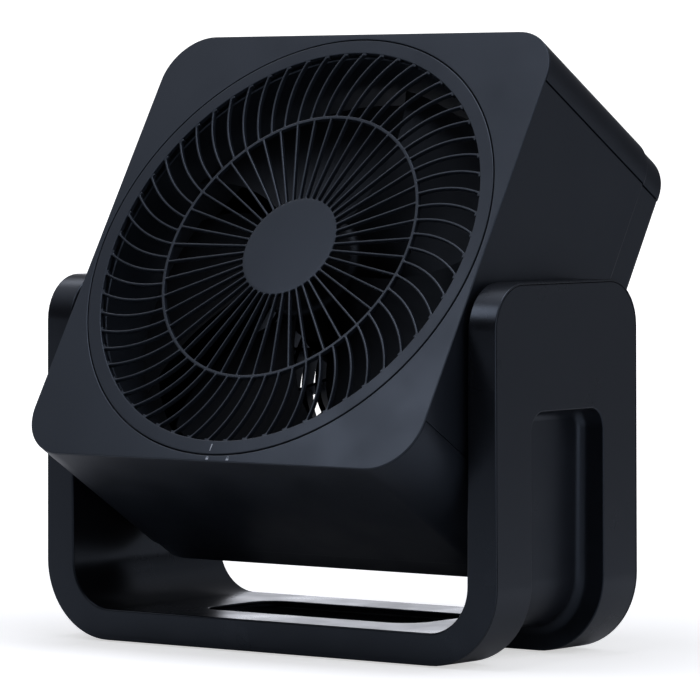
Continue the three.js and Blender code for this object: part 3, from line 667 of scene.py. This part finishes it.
# ------------------------------------------------------------------ screws with cross recesses
def cross_screw(cx, cy, z_head, r, z_under, shank_r, z_end, size):
    """Pan-head screw seen from behind: domed head with a cross recess."""
    b = Build()
    n = 32
    w = size * 0.2
    L = size
    cross = [(w, w), (w, L), (-w, L), (-w, w), (-L, w), (-L, -w), (-w, -w), (-w, -L), (w, -L), (w, -w), (L, -w), (L, w)]
    loops = [[(cx + r * cos(2 * math.pi * k / n), cy + r * sin(2 * math.pi * k / n), z_under) for k in range(n)]]
    for rr, dz in ((1.0, 0.55), (0.96, 0.25), (0.84, 0.08), (0.66, 0.0)):
        loops.append([(cx + r * rr * cos(2 * math.pi * k / n), cy + r * rr * sin(2 * math.pi * k / n), z_head + dz) for k in range(n)])
    idx = b.loft(loops)
    top = b.pts([(cx + x, cy + y, z_head) for x, y in cross])
    low = b.pts([(cx + x * 0.7, cy + y * 0.7, z_head + 0.7 * r * 0.4) for x, y in cross])
    b.bridge(top, low)
    b.cap(low)
    order = idx[-1] + top
    for t in tessellate_polygon([[Vector(b.v[i]) for i in idx[-1]], [Vector(b.v[i]) for i in top]]):
        b.f.append(tuple(order[i] for i in t))
    under = b.pts([(cx + shank_r * cos(2 * math.pi * k / n), cy + shank_r * sin(2 * math.pi * k / n), z_under) for k in range(n)])
    end = b.pts([(cx + shank_r * cos(2 * math.pi * k / n), cy + shank_r * sin(2 * math.pi * k / n), z_end) for k in range(n)])
    b.bridge(idx[0], under)
    b.bridge(under, end)
    b.cap(end)
    return b


for (px, py), where in zip(POSTS, ("top_left", "top_right", "bottom_left", "bottom_right")):
    s_b = cross_screw(px, py, -164.0, 3.8, -161.9, 1.6, -140, 2.0)
    add("screw_" + where, s_b.mesh("screw_" + where, head_to_row), STEEL, "head", ["cover_screw_" + where])
for k, (px, py) in enumerate(MOTOR_SCREWS):
    s_b = cross_screw(px, py, -164.0, 3.1, -162.7, 1.55, -157, 1.7)
    add("plate_screw_%d" % (k + 1), s_b.mesh("plate_screw_%d" % (k + 1), head_to_row), STEEL, "head", ["motor_screw_%d" % (k + 1)])
for where, cx, cy in (("front_left", -80, -63), ("front_right", 80, -63), ("rear_left", -80, 63), ("rear_right", 80, 63)):
    s_b = cross_screw(cx, cy, 1.05, 3.2, 2.0, 1.4, 12, 1.7)
    add("base_screw_" + where, s_b.mesh("base_screw_" + where), STEEL, "stand", ["stand_screw_" + where])

# ------------------------------------------------------------------ fan
BLADE_R = 147.0


def blade(a0, nr=20, nc=16, t=1.1):
    b = Build()
    skins = []
    for sgn in (1, -1):
        rows = []
        for i in range(nr + 1):
            f = i / nr
            r = 34 + (BLADE_R - 34) * f
            span = 62 + 6 * sin(math.pi * f) - 6 * f + 10 * f * f
            if f > 0.86:
                span *= 1 - 0.02 * ((f - 0.86) / 0.14) ** 2.4
            lift = 34 - 10 * f
            rowp = []
            for j in range(nc + 1):
                v = (j / nc - 0.5)
                v = 0.5 * sin(math.pi * v)
                a = a0 + 18 * f * f + span * v
                tt = t * (1 - 0.7 * (2 * v) ** 4)
                z = -47 + lift * v - 5 * (1 - 4 * v * v) * (0.4 + 0.6 * f) + sgn * tt
                rowp.append((r * cos(rad(a)), r * sin(rad(a)), z))
            rows.append(b.pts(rowp))
        skins.append(rows)
    for rows in skins:
        for u, v in zip(rows, rows[1:]):
            b.bridge(u, v, False)
    for i in range(nr):
        for j in (0, nc):
            b.f.append((skins[0][i][j], skins[0][i + 1][j], skins[1][i + 1][j], skins[1][i][j]))
    for j in range(nc):
        for i in (0, nr):
            b.f.append((skins[0][i][j], skins[0][i][j + 1], skins[1][i][j + 1], skins[1][i][j]))
    return b


fan_parts = [revolve([(4.3, -28.0), (33.0, -28.0), (36.0, -28.6), (38.4, -30.2), (39.7, -32.4), (40.0, -34.5), (40.0, -67.6), (39.6, -68.0), (37.9, -68.0),
                      (37.5, -67.6), (37.5, -34.0), (11.0, -34.0), (11.0, -64.0), (4.3, -64.0)], 96)]
for k in range(5):
    fan_parts.append(blade(30 + 72 * k))
add("fan_moulding", join_meshes("fan_moulding", fan_parts, head_to_row, 40), FAN_PLASTIC, "rotor", ["fan_blade"])
nut = revolve([(4.3, -27.7), (11.0, -27.7), (11.0, -25.0), (10.6, -23.6), (8.8, -21.2), (6.0, -19.5), (3.0, -19.05), (0, -19.0), (0, -23.7), (4.3, -23.7)], 48, closed=True)
add("fan_cap", nut.mesh("fan_cap", head_to_row), BLACK_PLASTIC, "rotor", ["fan_nut"])

# ------------------------------------------------------------------ speed knob, its marks, and the cord gland
KX, KY = 121.0, 121.0
knob = revolve([(0, -178.0), (12.6, -178.0), (13.6, -177.85), (14.5, -177.3), (15.2, -176.3), (15.6, -174.6), (16.6, -165.0), (16.4, -164.6), (3.0, -164.6), (3.0, -154.0), (0, -154.0)], 72, KX, KY)
bar = Build()


def bar_line(g):
    pts = rounded_square(1.0, 0.999, 4)
    hx, hy, r = 15.2 + g, 3.2 + g, 3.0 + g
    out = []
    for sx, sy, a0 in ((1, 1, 0), (-1, 1, 90), (-1, -1, 180), (1, -1, 270)):
        for k in range(6):
            a = rad(a0 + 18 * k)
            x, y = sx * (hx - r) + r * cos(a), sy * (hy - r) + r * sin(a)
            out.append((x, y))
    c, s_ = cos(rad(135)), sin(rad(135))
    return [(KX + x * c - y * s_, KY + x * s_ + y * c) for x, y in out]


idx = bar.loft([[(x, y, z) for x, y in bar_line(g)] for g, z in ((-0.3, -176.0), (-0.3, -180.2), (-0.45, -180.6), (-0.8, -180.84), (-1.25, -180.92))])
bar.cap(idx[0])
bar.cap(idx[-1])
add("knob_body", join_meshes("knob_body", [knob, bar], head_to_row), BLACK_PLASTIC, "knob", ["speed_knob"])


def rear_mark(name, shapes, z, body):
    b = Build()
    for poly in shapes:
        lo = b.pts([(x, y, z) for x, y in poly])
        hi = b.pts([(x, y, z + 0.08) for x, y in poly])
        b.bridge(lo, hi)
        b.cap(lo)
        b.cap(hi)
    add(name, b.mesh(name, head_to_row), PRINT, body, (), weighted=False)


def seg(x0, y0, x1, y1, w):
    dx, dy = x1 - x0, y1 - y0
    L = math.hypot(dx, dy)
    nx, ny = -dy / L * w / 2, dx / L * w / 2
    return [(x0 + nx, y0 + ny), (x1 + nx, y1 + ny), (x1 - nx, y1 - ny), (x0 - nx, y0 - ny)]


# pointer on the knob and a dial of 0 to 3 round it; the digits read the right way round from behind
ca, sa = cos(rad(135)), sin(rad(135))
rear_mark("knob_pointer", [seg(KX + 8 * ca, KY + 8 * sa, KX + 13.7 * ca, KY + 13.7 * sa, 1.0)], -180.98, "knob")
DIGITS = {
    "0": [(0, 0, 1, 0), (1, 0, 1, 2), (1, 2, 0, 2), (0, 2, 0, 0)],
    "1": [(0.5, 0, 0.5, 2)],
    "2": [(0, 2, 1, 2), (1, 2, 1, 1), (1, 1, 0, 1), (0, 1, 0, 0), (0, 0, 1, 0)],
    "3": [(0, 2, 1, 2), (1, 2, 1, 0), (1, 0, 0, 0), (0.1, 1, 1, 1)],
}
marks = []
for k, ch in enumerate("0123"):
    a = rad(135 + 45 * k)
    marks.append(seg(KX + 18.6 * cos(a), KY + 18.6 * sin(a), KX + 20.6 * cos(a), KY + 20.6 * sin(a), 0.7))
    ox, oy = KX + 24.3 * cos(a), KY + 24.3 * sin(a)
    for x0, y0, x1, y1 in DIGITS[ch]:
        marks.append(seg(ox - (x0 - 0.5) * 2.1, oy + (y0 - 1) * 1.9, ox - (x1 - 0.5) * 2.1, oy + (y1 - 1) * 1.9, 0.55))
rear_mark("dial_marks", marks, REAR - 0.05, "head")

gland = revolve([(3.8, -167.3), (4.1, -167.6), (9.4, -167.6), (10.2, -167.3), (10.5, -166.5), (10.5, -164.5), (7.5, -164.5), (7.5, -158.5), (9.0, -158.5), (9.0, -156.0), (3.8, -156.0)], 48, -124, -126)
add("gland_ring", gland.mesh("gland_ring", head_to_row), RUBBER, "head", ["cord_gland"])

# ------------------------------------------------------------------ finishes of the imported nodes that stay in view
FINISH = {
    "friction_washer_left": RUBBER, "friction_washer_right": RUBBER,
    "tilt_stub_left": BLACK_PLASTIC, "tilt_stub_right": BLACK_PLASTIC,
    "tilt_retainer_left": STEEL, "tilt_retainer_right": STEEL, "tilt_screw_left": STEEL, "tilt_screw_right": STEEL,
    # the motor cans take the near-black painted shade finish
    "motor_plate": STEEL, "motor_can_rear": PAINTED_SHADE_STEEL, "motor_can_front": PAINTED_SHADE_STEEL, "motor_stator": COPPER,
    "motor_bearing_front": STEEL, "motor_bearing_rear": STEEL, "motor_shaft": STEEL, "motor_rotor": STEEL,
    "speed_switch": BLACK_PLASTIC, "motor_capacitor": BLACK_PLASTIC, "terminal_block": PALE_PLASTIC, "motor_lead": BLACK_PLASTIC,
}
for name, mat in FINISH.items():
    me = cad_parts[name].data
    me.materials.clear()
    me.materials.append(mat)

# ------------------------------------------------------------------ floor
FLOOR_BOUNCE, FLOOR_SEEN = 0.0, 0.57       # glow of the sweep as the fan sees it and as the camera does
b = Build()
xs = [-40000, -6000, -2000, -900, -400, 0, 400, 900, 2000, 6000, 40000]
grid = [b.pts([(x, y, 0.0) for x in xs]) for y in xs]
for u, v in zip(grid, grid[1:]):
    b.bridge(u, v, False)
me = b.mesh("floor")
FLOOR = bpy.data.materials.new("floor_paper")
FLOOR.use_nodes = True
nt = FLOOR.node_tree
bs = nt.nodes["Principled BSDF"]
tc = nt.nodes.new("ShaderNodeTexCoord")
no = nt.nodes.new("ShaderNodeTexNoise")
no.inputs["Scale"].default_value = 3.0
nt.links.new(tc.outputs["Object"], no.inputs["Vector"])
ramp = nt.nodes.new("ShaderNodeValToRGB")
ramp.color_ramp.elements[0].color = (0.86, 0.86, 0.86, 1)
ramp.color_ramp.elements[1].color = (0.88, 0.88, 0.88, 1)
nt.links.new(no.outputs["Fac"], ramp.inputs["Fac"])
nt.links.new(ramp.outputs["Color"], bs.inputs["Base Color"])
bs.inputs["Roughness"].default_value = 0.9
bs.inputs["Specular IOR Level"].default_value = 0.0
lp = nt.nodes.new("ShaderNodeLightPath")
glow = nt.nodes.new("ShaderNodeMapRange")
glow.inputs["To Min"].default_value = FLOOR_BOUNCE
glow.inputs["To Max"].default_value = FLOOR_SEEN
nt.links.new(lp.outputs["Is Camera Ray"], glow.inputs["Value"])
dist = nt.nodes.new("ShaderNodeVectorMath")
dist.operation = "LENGTH"
nt.links.new(tc.outputs["Object"], dist.inputs[0])
fade = nt.nodes.new("ShaderNodeMapRange")
fade.interpolation_type = "SMOOTHSTEP"
fade.inputs["From Min"].default_value = 0.30
fade.inputs["From Max"].default_value = 1.30
fade.inputs["To Min"].default_value = FLOOR_SEEN
fade.inputs["To Max"].default_value = 1.1
nt.links.new(dist.outputs["Value"], fade.inputs["Value"])
nt.links.new(fade.outputs["Result"], glow.inputs["To Max"])
bs.inputs["Emission Color"].default_value = (1, 1, 1, 1)
nt.links.new(glow.outputs["Result"], bs.inputs["Emission Strength"])
me.materials.append(FLOOR)
floor = bpy.data.objects.new("floor", me)
bpy.context.scene.collection.objects.link(floor)

# soft lobes of the surroundings: direction they come from, narrowness, strength
LOBES = [
    ((0.7365, 0.0992, 0.6691), 10, 1.72),
    ((-0.7365, -0.0992, 0.6691), 10, 0.74),
    ((0.2824, 0.6874, 0.6691), 10, 0.20),
    ((-0.4541, 0.5882, 0.6691), 10, 0.12),
    ((-0.6078, 0.7872, 0.1045), 9, 0.15),
    ((-0.6078, 0.7872, 0.0700), 90, 2.60),
]
# soft boxes: name, place, aim, width, height, power
LAMPS = [
    ("over_box", (0.0, -0.1, 1.2), (0.0, -0.1, 0.3), 0.6, 0.6, 4.3),
    ("face_box", (-0.22, -0.45, 0.62), (0.16, -0.16, 0.15), 0.25, 0.25, 0.55),
    ("right_box", (0.9, -0.1, 0.25), (0.1, 0.0, 0.15), 0.4, 0.4, 0.45),
    ("back_right_box", (0.9, 1.1, 0.45), (0.1, 0.0, 0.2), 0.5, 0.5, 0.137),
    ("left_low_box", (-0.75, -0.35, 0.12), (-0.1, -0.1, 0.1), 0.5, 0.2, 0.124),
    ("edge_box", (-0.8, 0.15, 1.05), (0.17, -0.05, 0.25), 0.25, 0.25, 0.6),
]
LIGHT_TINT = (0.955, 0.975, 1.06)

# ------------------------------------------------------------------ surroundings
scene = bpy.context.scene
world = bpy.data.worlds.new("studio") if not scene.world else scene.world
scene.world = world
world.use_nodes = True
nt = world.node_tree
nt.nodes.clear()
out = nt.nodes.new("ShaderNodeOutputWorld")
bg = nt.nodes.new("ShaderNodeBackground")
nt.links.new(bg.outputs["Background"], out.inputs["Surface"])
tc = nt.nodes.new("ShaderNodeTexCoord")


def dot_with(direction):
    n = nt.nodes.new("ShaderNodeVectorMath")
    n.operation = "DOT_PRODUCT"
    v = Vector(direction).normalized()
    n.inputs[1].default_value = v
    nt.links.new(tc.outputs["Generated"], n.inputs[0])
    return n.outputs["Value"]


def combine(op, a, b):
    n = nt.nodes.new("ShaderNodeMath")
    n.operation = op
    for k, v in enumerate((a, b)):
        if isinstance(v, (int, float)):
            n.inputs[k].default_value = v
        else:
            nt.links.new(v, n.inputs[k])
    return n.outputs["Value"]


YAW, PITCH, ROLL = rad(37.66761), rad(2.47646), rad(-0.075075)
back = np.array([sin(YAW) * cos(PITCH), -cos(YAW) * cos(PITCH), sin(PITCH)])
level = 0.0
for direction, narrow, strength in LOBES:
    lobe = combine("POWER", combine("MAXIMUM", dot_with(direction), 0.0), narrow)
    level = combine("ADD", combine("MULTIPLY", lobe, strength), level)
nt.links.new(level, bg.inputs["Strength"])
seen = nt.nodes.new("ShaderNodeBackground")
seen.inputs["Color"].default_value = (1.0, 1.0, 1.0, 1)
seen.inputs["Strength"].default_value = 1.3
lp = nt.nodes.new("ShaderNodeLightPath")
mix = nt.nodes.new("ShaderNodeMixShader")
nt.links.new(lp.outputs["Is Camera Ray"], mix.inputs["Fac"])
nt.links.new(bg.outputs["Background"], mix.inputs[1])
nt.links.new(seen.outputs["Background"], mix.inputs[2])
nt.links.new(mix.outputs["Shader"], out.inputs["Surface"])
bg.inputs["Color"].default_value = (*LIGHT_TINT, 1)


def area(name, loc, target, size, size_y, power, color=LIGHT_TINT):
    lamp = bpy.data.lights.new(name, "AREA")
    lamp.shape = "RECTANGLE"
    lamp.size, lamp.size_y = size, size_y
    lamp.energy = power
    lamp.color = color
    ob = bpy.data.objects.new(name, lamp)
    ob.location = loc
    d = Vector(target) - Vector(loc)
    ob.rotation_euler = d.to_track_quat("-Z", "Y").to_euler()
    scene.collection.objects.link(ob)
    ob.visible_camera = False
    return ob


for spec in LAMPS:
    area(*spec)

# ------------------------------------------------------------------ camera
right0 = np.array([cos(YAW), sin(YAW), 0.0])
up0 = np.cross(back, right0)
cr, sr = cos(ROLL), sin(ROLL)
right = cr * right0 + sr * up0
up = -sr * right0 + cr * up0
F, U0, V0, DIST = 4885.672, 343.641, 428.947, 3427.2577
pos = np.array([0.0, 7.0 + SHIFT, 151.0]) - (U0 - 350) / F * DIST * right + (V0 - 350) / F * DIST * up + DIST * back
cam = bpy.data.cameras.new("camera")
cam.sensor_width = 36.0
cam.lens = F / 700 * 36.0
cam.clip_start = 0.1
cam.clip_end = 200.0
ob = bpy.data.objects.new("camera", cam)
ob.matrix_world = Matrix([
    [right[0], up[0], back[0], pos[0] * MM],
    [right[1], up[1], back[1], pos[1] * MM],
    [right[2], up[2], back[2], pos[2] * MM],
    [0, 0, 0, 1]])
scene.collection.objects.link(ob)
scene.camera = ob
scene.view_settings.view_transform = "Standard"
scene.view_settings.look = "None"
